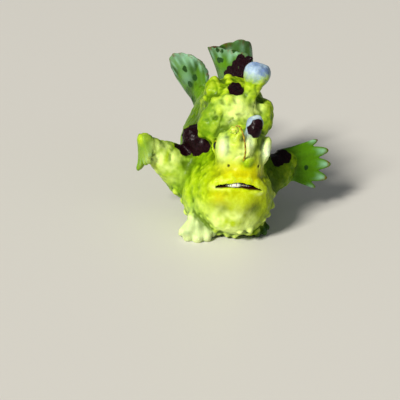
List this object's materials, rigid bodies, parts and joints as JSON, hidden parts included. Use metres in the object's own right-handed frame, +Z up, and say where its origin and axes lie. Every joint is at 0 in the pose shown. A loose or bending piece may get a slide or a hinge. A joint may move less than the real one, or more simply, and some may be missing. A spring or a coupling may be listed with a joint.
{
  "type": "frogfish",
  "caption": "Warty frogfish at rest, life size: tall head with stalked knob and lure filament, upturned mouth, arm-like pectoral fins, raised tail.",
  "frame": {"origin": "on the flat of the belly that rests on the floor, below the shoulders", "axes": "+Z up, the fish faces -Y, its left side is +X"},
  "size_m": [0.062, 0.0815, 0.0504],
  "materials": {
    "skin": "moist warty skin, yellow-green with dark maroon saddles",
    "fin": "thin moist fin membrane over soft rays",
    "eye": "wet glossy eye",
    "filament": "banded brown filament",
    "lure": "yellow-green lobed lure"
  },
  "bodies": {
    "root": {"head": "skin", "lower_jaw": "skin", "trunk": "skin", "tail_stem": "skin", "eye_left": "eye", "eye_right": "eye", "second_dorsal_spine": "skin", "third_dorsal_spine": "skin", "filament": "filament", "lure": "lure", "caudal_fin": "fin", "dorsal_fin": "fin", "anal_fin": "fin", "pectoral_arm_left": "skin", "pectoral_fin_left": "fin", "pelvic_fin_left": "fin", "pectoral_arm_right": "skin", "pectoral_fin_right": "fin", "pelvic_fin_right": "fin"}
  },
  "joints": []
}
